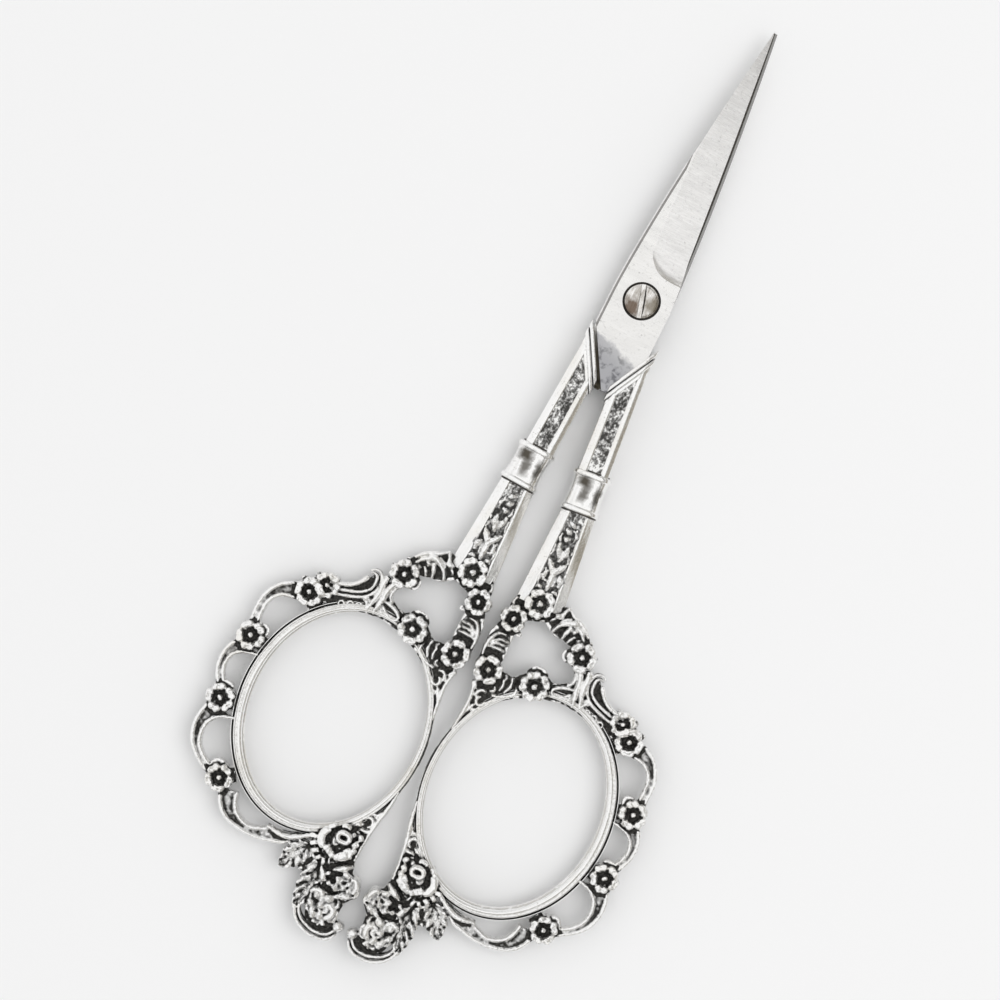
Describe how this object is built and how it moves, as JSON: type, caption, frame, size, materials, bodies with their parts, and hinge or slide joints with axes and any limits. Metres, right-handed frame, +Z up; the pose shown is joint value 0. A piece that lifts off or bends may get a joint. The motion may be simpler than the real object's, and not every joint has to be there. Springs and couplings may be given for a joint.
{
  "type": "embroidery scissors",
  "caption": "Small ornate sewing scissors: slim ground blades on a slotted pivot screw, with cast handles pierced by blossoms, leaves and scrolls around oval finger rings.",
  "frame": {"origin": "on the surface that the closed scissors lie on, under the middle of their length and width", "axes": "+Y towards the blades' tips, +X towards the handle of the front blade, +Z up, out of the face with the screw's head"},
  "size_m": [0.0586, 0.1286, 0.005],
  "materials": {
    "blade_steel": "satin",
    "handle_plate": "satin",
    "screw_plate": "polished"
  },
  "bodies": {
    "rear_half": {"rear_blade": "blade_steel", "left_handle": "handle_plate", "pivot_screw": "screw_plate"},
    "front_half": {"front_blade": "blade_steel", "right_handle": "handle_plate"}
  },
  "joints": [
    {"name": "pivot", "type": "hinge", "parent": "rear_half", "child": "front_half", "pos_m": [0, 0.02613, 0.00252], "axis": [0, 0, 1], "range_deg": [0, 95]}
  ]
}
